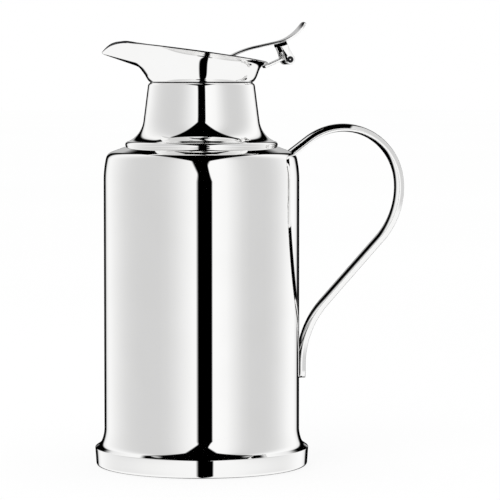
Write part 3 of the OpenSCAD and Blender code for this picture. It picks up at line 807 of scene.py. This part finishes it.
LEVER_ROOT_HALF = 3.0  # half its width at the lid
TIP_REACH = 5.0  # how far from its ends the lever starts to narrow
TIP_KEEPS = 0.35  # share of its width that it keeps there
lever_half = lever_high.y


def lever_stations():
    """Stations along the lever with closer ones near both rounded ends."""
    near = finer(lever_path, TIP_REACH)
    back = [(x, z, h + 180) for x, z, h in reversed(near)]
    kept = list(zip(back, path_lengths(back)))
    end = []
    for s in close_stations(TIP_REACH):
        for (p, a), (q, b) in zip(kept, kept[1:]):
            if a <= s <= b:
                t = (s - a) / (b - a)
                end.append((p[0] + (q[0] - p[0]) * t, p[1] + (q[1] - p[1]) * t, p[2] + (q[2] - p[2]) * t))
                break
    far_end = end + [p for p, s in kept if s >= TIP_REACH]
    return [(x, z, h - 180) for x, z, h in reversed(far_end)]


stations = lever_stations()
station_lengths = path_lengths(stations)


def lever_section(i):
    """A flat strip that widens from root to thumb rest and is round at both ends."""
    s = station_lengths[i]
    share = min(end_share(s, TIP_REACH), end_share(station_lengths[-1] - s, TIP_REACH))
    along = (stations[i][0] - lever_low.x) / (lever_high.x - lever_low.x)
    half = LEVER_ROOT_HALF + (lever_half - LEVER_ROOT_HALF) * along
    half *= TIP_KEEPS + (1 - TIP_KEEPS) * share
    return rounded_box(half, -LEVER_T / 2, LEVER_T / 2, 0.3, 4.5)


mesh = bmesh.new()
swept(mesh, stations, lever_section)
finish_piece("lid_lever", mesh, silver, "lid", ["lid_lever"], crease=40)

COVER_CROWN = 130.4  # radius of its low dome
COVER_SHEET = 0.8
CROWN_STEPS = 24
CROWN_LIFT = 0.15
EDGE_ROUND = 0.9
SKIRT_UNDER = 1.0  # height of its rim inside
cover_r = cover_high.x
crown_z = cover_high.z + CROWN_LIFT - COVER_CROWN


def crown_height(radius, inset=0.0):
    """Height of the lid's low dome."""
    return crown_z + math.sqrt((COVER_CROWN - inset) ** 2 - radius ** 2)


crown_radii = [cover_r * k / CROWN_STEPS for k in range(CROWN_STEPS)]
top_face = [(r, crown_height(r)) for r in crown_radii if r < cover_r - EDGE_ROUND]
turn_c = (cover_r - EDGE_ROUND, crown_height(cover_r - EDGE_ROUND) - EDGE_ROUND)
under = [(cover_r - COVER_SHEET, cover_low.z), (cover_r - COVER_SHEET, cover_low.z + SKIRT_UNDER)]
under += [(r, crown_height(r, COVER_SHEET)) for r in range(24, -1, -6)]
mesh = bmesh.new()
turned(mesh, top_face + arc(turn_c, EDGE_ROUND, 84, 0, 12) + [(cover_r, cover_low.z)] + under, closed=False)
finish_piece("lid_cover", mesh, silver, "lid", ["lid_cover"], crease=40)

STOPPER_A = 27.0
SEAT_TOP_R = 23.0
SEAT_Z = 226.5
SEAT_GAP = 0.4
SCREW_R = 1.5
SCREW_HEAD_HIGH = 1.6
SLOT_HALF = 0.45
SLOT_DEEP = 0.8
SEAL_Z = 221.0
SEAL_HALF = 1.1
stopper_low = insert_low.z
flange_low = cover_low.z
screw_head_r = screw_high.x


def seat_radius(z):
    """Radius of the conical seat in the throat."""
    return SEAT_TOP_R - (SEAT_Z - z) * math.tan(math.radians(STOPPER_A))


seal_c = (seat_radius(SEAL_Z) - SEAT_GAP - 0.5, SEAL_Z)
mesh = bmesh.new()
pocket_top = stopper_low + SCREW_HEAD_HIGH
stopper = [(SCREW_R, pocket_top, 0), (screw_head_r + 0.1, pocket_top, 0.1),
           (screw_head_r + 0.1, stopper_low, 0.3), (seat_radius(stopper_low) - SEAT_GAP, stopper_low, 1.0),
           (seat_radius(SEAL_Z - SEAL_HALF) - SEAT_GAP, SEAL_Z - SEAL_HALF, 0.2),
           (seat_radius(SEAL_Z) - SEAT_GAP - 1.4, SEAL_Z - 0.4, 0.2),
           (seat_radius(SEAL_Z) - SEAT_GAP - 1.2, SEAL_Z + 0.5, 0.2),
           (seat_radius(SEAL_Z + SEAL_HALF) - SEAT_GAP, SEAL_Z + SEAL_HALF, 0.2),
           (seat_radius(SEAT_Z) - SEAT_GAP, SEAT_Z, 0.3), (seat_radius(SEAT_Z) - SEAT_GAP, flange_low, 0.3),
           (cover_r - COVER_SHEET - 0.1, flange_low, 0.3), (cover_r - COVER_SHEET - 0.1, flange_low + 1, 0.2),
           (SCREW_R, flange_low + 1, 0)]
turned(mesh, rounded(stopper))
finish_piece("lid_stopper", mesh, plastic_black, "lid", ["lid_insert"], crease=40)

mesh = bmesh.new()
turned(mesh, arc(seal_c, SEAL_HALF, 0, 351, 9))
finish_piece("lid_seal", mesh, rubber, "lid", ["lid_seal"], crease=60)

HEAD_EDGE = [(0.35, 0.0), (0.1, 0.12), (0.0, 0.4), (0.0, SLOT_DEEP + 0.05)]  # inset and height from below
head_r = screw_head_r - 0.1
slot_z = stopper_low + SLOT_DEEP
mesh = bmesh.new()
turned(mesh, [(0, slot_z), (head_r, slot_z), (head_r, pocket_top), (SCREW_R, pocket_top),
              (SCREW_R, screw_high.z), (0, screw_high.z)], closed=False, sides=64)
for side in (-1, 1):
    first = math.degrees(math.asin(SLOT_HALF / head_r))
    half = [(p[0], side * p[1]) for p in arc((0, 0), head_r, first, 180 - first, 10)]
    rings = []
    for inset, z in HEAD_EDGE:
        share = 1 - inset / head_r
        rings.append([Vector((p[0] * share, side * SLOT_HALF + (p[1] - side * SLOT_HALF) * share,
                              stopper_low + z)) * MM for p in half])
    skin(mesh, rings)
finish_piece("lid_screw", mesh, steel, "lid", ["lid_screw"], crease=30)

# ---- Throat ----

BORE_R = 17.6
SLEEVE_LOW_R = 24.5
SLEEVE_NECK_R = 24.0
FLANGE_LOW, FLANGE_TOP = 222.6, 224.9
flange_r = sleeve_high.x
seat_low = SEAT_Z - (SEAT_TOP_R - BORE_R) / math.tan(math.radians(STOPPER_A))
sleeve = [(SLEEVE_LOW_R, sleeve_low.z, 0.3), (SLEEVE_LOW_R, FLANGE_LOW, 0.2), (flange_r, FLANGE_LOW, 0.3),
          (flange_r, FLANGE_TOP, 0.3), (SLEEVE_NECK_R, FLANGE_TOP, 0), (SLEEVE_NECK_R, SEAT_Z, 0.5),
          (SEAT_TOP_R, SEAT_Z, 0.5), (BORE_R, seat_low, 1.5), (BORE_R, sleeve_low.z, 0.6)]
mesh = bmesh.new()
turned(mesh, rounded(sleeve))
finish_piece("throat_sleeve", mesh, plastic_white, "jug", ["throat_sleeve"], crease=40)

# ---- Base cap ----

PLUG_R = 52.75
CAP_WALL = 2.2
CAP_FLOOR = (7.5, 9.7)
CAP_FLANGE_TOP = 4.7
GRIP_HALF = 3.5
cap_flange_r = cap_high.x
wall_in = PLUG_R - CAP_WALL
cap = [(wall_in, cap_low.z, 0.6), (cap_flange_r, cap_low.z, 0.7),
       (cap_flange_r, CAP_FLANGE_TOP, 0.3), (PLUG_R, CAP_FLANGE_TOP, 0.2),
       (PLUG_R, cap_high.z, 0.4), (wall_in, cap_high.z, 0.4),
       (wall_in, CAP_FLOOR[1], 0.8), (0, CAP_FLOOR[1], 0)]
outline = rounded(cap + [(0, CAP_FLOOR[0], 0), (wall_in, CAP_FLOOR[0], 1.2)])
start = outline.index((0.0, CAP_FLOOR[0]))
mesh = bmesh.new()
turned(mesh, outline[start:] + outline[:start], closed=False)
bar_path = [(-wall_in - 0.5, cap_low.z, 0.0), (wall_in + 0.5, cap_low.z, 0.0)]
swept(mesh, bar_path, lambda i: rounded_box(GRIP_HALF, 0.0, CAP_FLOOR[0] - cap_low.z + 1, 1.0))
finish_piece("base_cap", mesh, plastic_black, "base_cap", ["base_cap"], crease=40)

# ---- CAD nodes that are kept as they are ----

KEPT = {
    "lid_core": foam, "mouth_seal": rubber, "centering_ring": foam, "inner_flask": flask_glass,
    "outer_flask": flask_glass, "flask_spacers": steel, "tip_cup": plastic_white, "flask_cushion": rubber,
    "slip_washer": plastic_white, "thread_ring": silver,
}
for name, material in KEPT.items():
    kept = frame["nodes"][name]
    kept.data.materials.clear()
    kept.data.materials.append(material)

# ---- Studio ----

HEADING = -9.0
CAMERA_FAR = 1570.0
CAMERA_HIGH = 225.2
TARGET_HIGH = 126.6
TARGET_RIGHT = 28.5
FOCAL = 192.2

scene = bpy.context.scene
heading = math.radians(HEADING)
right = Vector((math.cos(heading), math.sin(heading), 0))
away = Vector((math.sin(heading), -math.cos(heading), 0))
camera_data = bpy.data.cameras.new("camera")
camera_data.lens = FOCAL
camera_data.clip_start = 0.01
camera_data.clip_end = 50
camera = bpy.data.objects.new("camera", camera_data)
scene.collection.objects.link(camera)
camera.location = (away * CAMERA_FAR + Vector((0, 0, CAMERA_HIGH))) * MM
target = (right * TARGET_RIGHT + Vector((0, 0, TARGET_HIGH))) * MM
camera.rotation_euler = (target - camera.location).to_track_quat("-Z", "Y").to_euler()
scene.camera = camera
scene.view_settings.view_transform = "Standard"


def linear(tone):
    """Light for a tone between 0 and 255 as it is shown on a screen."""
    v = tone / 255
    return v / 12.92 if v < 0.04045 else ((v + 0.055) / 1.055) ** 2.4


# The silver sees two pale walls, left and right of the camera, and a paler floor, with dark gaps between the
# walls in front, above and behind. Directions are in degrees from the camera, positive to its right. Tones
# are as shown on a screen, from 0 to 255.
WALL_DARK, WALL_LIGHT = 211, 253
WALL_CURVE = 1.5
LEFT_WALL = (60, 60, 92)  # its darkest direction, and over how much it brightens before and behind that
RIGHT_WALL = (70, 48, 66)
WALL_STEP = 10
WALL_END = 150  # where both walls end at the back
WALL_END_TONE = 235
FRONT_GAP = (-4.0, 13.1)
FRONT_SOFT = 0.5
BACK_SOFT = 5
GAP_NARROWS = 1.8  # how fast the front gap closes in with height
GAP_NEAR = 0.6  # radians from the camera within which it does
WALL_RISE = 2.0  # how steeply the walls' tops rise away from the gaps
WALL_FOOT = 0.03
EDGE_SOFT = 0.05
FLOOR_TONE = 249
FLOOR_FADE = (-0.30, -0.16)  # heights between which the floor gives way to the walls
BACK_TONE = 190
BACK_FROM, BACK_FULL = 166, 171
BACK_TOP = (0.45, 0.3)  # heights over which the back gap's light fades out
BACK_FOOT = (0.02, 0.09)


def wall_tone(angle):
    """Tone of a wall in a direction: darkest near its middle, bright at its ends."""
    darkest, before, behind = LEFT_WALL if angle < 0 else RIGHT_WALL
    off = abs(angle) - darkest
    share = min(1.0, abs(off) / (before if off < 0 else behind))
    return WALL_DARK + (WALL_LIGHT - WALL_DARK) * (0.5 - 0.5 * math.cos(math.pi * share)) ** WALL_CURVE


wall_directions = range(WALL_STEP - WALL_END, WALL_END, WALL_STEP)
WALLS = [(-WALL_END, WALL_END_TONE), *((a, wall_tone(a)) for a in wall_directions),
         (WALL_END, WALL_END_TONE)]
BACK_GAP = WALL_END + BACK_SOFT
GAPS = [(-180, 0), (-BACK_GAP, 0), (-WALL_END, 1), (FRONT_GAP[0] - FRONT_SOFT, 1), (FRONT_GAP[0], 0),
        (FRONT_GAP[1], 0), (FRONT_GAP[1] + FRONT_SOFT, 1), (WALL_END, 1), (BACK_GAP, 0), (180, 0)]


def studio():
    """The world: plain white for the floor and all matt surfaces, and the walls and gaps for what mirrors."""
    world = bpy.data.worlds.new("studio")
    scene.world = world
    world.use_nodes = True
    tree = world.node_tree
    tree.nodes.clear()

    def value(kind, *inputs, operation=None, output=0, **settings):
        made = tree.nodes.new(kind)
        if operation:
            made.operation = operation
        for key, item in settings.items():
            setattr(made, key, item)
        for i, item in enumerate(inputs):
            if item is None:
                continue
            if isinstance(item, bpy.types.NodeSocket):
                tree.links.new(item, made.inputs[i])
            else:
                made.inputs[i].default_value = item
        return made.outputs[output]

    def sum_of(a, b, operation="ADD"):
        return value("ShaderNodeMath", a, b, operation=operation)

    direction = value("ShaderNodeTexCoord")
    to_camera = {"vector_type": "VECTOR", "convert_from": "WORLD", "convert_to": "CAMERA"}
    seen = value("ShaderNodeVectorTransform", direction, **to_camera)
    up = value("ShaderNodeVectorTransform", (0.0, 0.0, 1.0), **to_camera)
    seen_parts = tree.nodes.new("ShaderNodeSeparateXYZ")
    up_parts = tree.nodes.new("ShaderNodeSeparateXYZ")
    world_parts = tree.nodes.new("ShaderNodeSeparateXYZ")
    tree.links.new(seen, seen_parts.inputs[0])
    tree.links.new(up, up_parts.inputs[0])
    tree.links.new(direction, world_parts.inputs[0])
    sideways, ahead = seen_parts.outputs[0], seen_parts.outputs[2]
    tilt, height = up_parts.outputs[2], world_parts.outputs[2]
    level = sum_of(ahead, sum_of(tilt, height, "MULTIPLY"), "SUBTRACT")
    angle = value("ShaderNodeMath", sideways, sum_of(level, -1.0, "MULTIPLY"), operation="ARCTAN2")
    narrow = sum_of(sum_of(sum_of(height, 0.0, "MAXIMUM"), GAP_NARROWS, "MULTIPLY"), 1.0)
    angle_size = value("ShaderNodeMath", angle, operation="ABSOLUTE")
    near = value("ShaderNodeMath", angle_size, GAP_NEAR, operation="LESS_THAN")
    widened = sum_of(sum_of(angle, narrow, "MULTIPLY"), angle, "SUBTRACT")
    gap_angle = sum_of(angle, sum_of(widened, near, "MULTIPLY"))

    def around(which, table, shade):
        """Looks a direction up in a table of (degrees, tone)."""
        ramp = tree.nodes.new("ShaderNodeValToRGB")
        tree.links.new(sum_of(sum_of(which, 1 / (2 * math.pi), "MULTIPLY"), 0.5), ramp.inputs[0])
        stops = ramp.color_ramp.elements
        while len(stops) < len(table):
            stops.new(0.5)
        for stop, (degrees, tone) in zip(stops, table):
            stop.position = (degrees + 180) / 360
            stop.color = (*[shade(tone)] * 3, 1)
        return ramp.outputs[0]

    def between(a, b, share):
        mix = tree.nodes.new("ShaderNodeMix")
        mix.data_type = "RGBA"
        for socket, item in zip((mix.inputs[0], mix.inputs[6], mix.inputs[7]), (share, a, b)):
            if isinstance(item, bpy.types.NodeSocket):
                tree.links.new(item, socket)
            else:
                socket.default_value = item
        return mix.outputs[2]

    def grey(tone):
        return (*[linear(tone)] * 3, 1)

    def smooth(item, low, high):
        made = tree.nodes.new("ShaderNodeMapRange")
        made.interpolation_type = "SMOOTHSTEP"
        tree.links.new(item, made.inputs[0])
        made.inputs[1].default_value, made.inputs[2].default_value = low, high
        return made.outputs[0]

    wall_light = around(angle, WALLS, linear)
    lit = between(grey(FLOOR_TONE), wall_light, smooth(height, *FLOOR_FADE))
    side_size = value("ShaderNodeMath", sideways, operation="ABSOLUTE")
    top = sum_of(sum_of(side_size, WALL_RISE, "MULTIPLY"), WALL_FOOT)
    mask = smooth(sum_of(top, height, "SUBTRACT"), -EDGE_SOFT, EDGE_SOFT)
    open_share = sum_of(around(gap_angle, GAPS, float), mask, "MULTIPLY")
    walls = between((0, 0, 0, 1), lit, open_share)
    far_round = smooth(angle_size, math.radians(BACK_FROM), math.radians(BACK_FULL))
    behind = sum_of(far_round, smooth(height, *BACK_TOP), "MULTIPLY")
    above_floor = smooth(height, *BACK_FOOT)
    shown_light = between(walls, grey(BACK_TONE), sum_of(behind, above_floor, "MULTIPLY"))
    light_path = tree.nodes.new("ShaderNodeLightPath")
    shown = value("ShaderNodeBackground", shown_light)
    plain = value("ShaderNodeBackground", (1, 1, 1, 1))
    chosen = value("ShaderNodeMixShader", light_path.outputs["Is Glossy Ray"], plain, shown)
    out = tree.nodes.new("ShaderNodeOutputWorld")
    tree.links.new(chosen, out.inputs["Surface"])


studio()

FLOOR_HALF = 20.0  # metres
FLOOR_DROP = 0.5  # how far it lies below the foot, so that the two don't flicker
FLOOR_GRAIN = 40.0
FLOOR_GLOW = 0.8


def studio_floor():
    """A pale, mostly glowing floor that is seen from above only and that the silver doesn't mirror."""
    material = bpy.data.materials.new("floor")
    material.use_nodes = True
    tree = material.node_tree
    tree.nodes.clear()
    noise = tree.nodes.new("ShaderNodeTexNoise")
    noise.inputs["Scale"].default_value = FLOOR_GRAIN
    ramp = tree.nodes.new("ShaderNodeValToRGB")
    ramp.color_ramp.elements[0].color = (0.985, 0.985, 0.985, 1)
    ramp.color_ramp.elements[1].color = (1, 1, 1, 1)
    matte = tree.nodes.new("ShaderNodeBsdfDiffuse")
    glow = tree.nodes.new("ShaderNodeEmission")
    blend = tree.nodes.new("ShaderNodeMixShader")
    blend.inputs["Fac"].default_value = FLOOR_GLOW
    clear = tree.nodes.new("ShaderNodeBsdfTransparent")
    side = tree.nodes.new("ShaderNodeNewGeometry")
    mix = tree.nodes.new("ShaderNodeMixShader")
    out = tree.nodes.new("ShaderNodeOutputMaterial")
    tree.links.new(noise.outputs["Fac"], ramp.inputs["Fac"])
    tree.links.new(ramp.outputs["Color"], matte.inputs["Color"])
    tree.links.new(side.outputs["Backfacing"], mix.inputs["Fac"])
    tree.links.new(ramp.outputs["Color"], glow.inputs["Color"])
    tree.links.new(matte.outputs["BSDF"], blend.inputs[1])
    tree.links.new(glow.outputs["Emission"], blend.inputs[2])
    tree.links.new(blend.outputs["Shader"], mix.inputs[1])
    tree.links.new(clear.outputs["BSDF"], mix.inputs[2])
    tree.links.new(mix.outputs["Shader"], out.inputs["Surface"])
    mesh = bmesh.new()
    bmesh.ops.create_grid(mesh, x_segments=8, y_segments=8, size=FLOOR_HALF)
    data = bpy.data.meshes.new("floor")
    mesh.to_mesh(data)
    mesh.free()
    data.materials.append(material)
    floor = bpy.data.objects.new("floor", data)
    scene.collection.objects.link(floor)
    floor.location = (0, 0, (foot_low.z - FLOOR_DROP) * MM)
    floor.visible_glossy = False


studio_floor()

LAMP_PLACE = (-0.9, -1.1, 1.5)  # metres
LAMP_AIM = (0, 0, 0.12)
LAMP_SIZE = 1.2
LAMP_WATTS = 5
lamp_data = bpy.data.lights.new("soft_light", "AREA")
lamp_data.shape = "DISK"
lamp_data.size = LAMP_SIZE
lamp_data.energy = LAMP_WATTS
lamp = bpy.data.objects.new("soft_light", lamp_data)
scene.collection.objects.link(lamp)
lamp.location = LAMP_PLACE
lamp.rotation_euler = (Vector(LAMP_AIM) - lamp.location).to_track_quat("-Z", "Y").to_euler()
lamp.visible_glossy = False
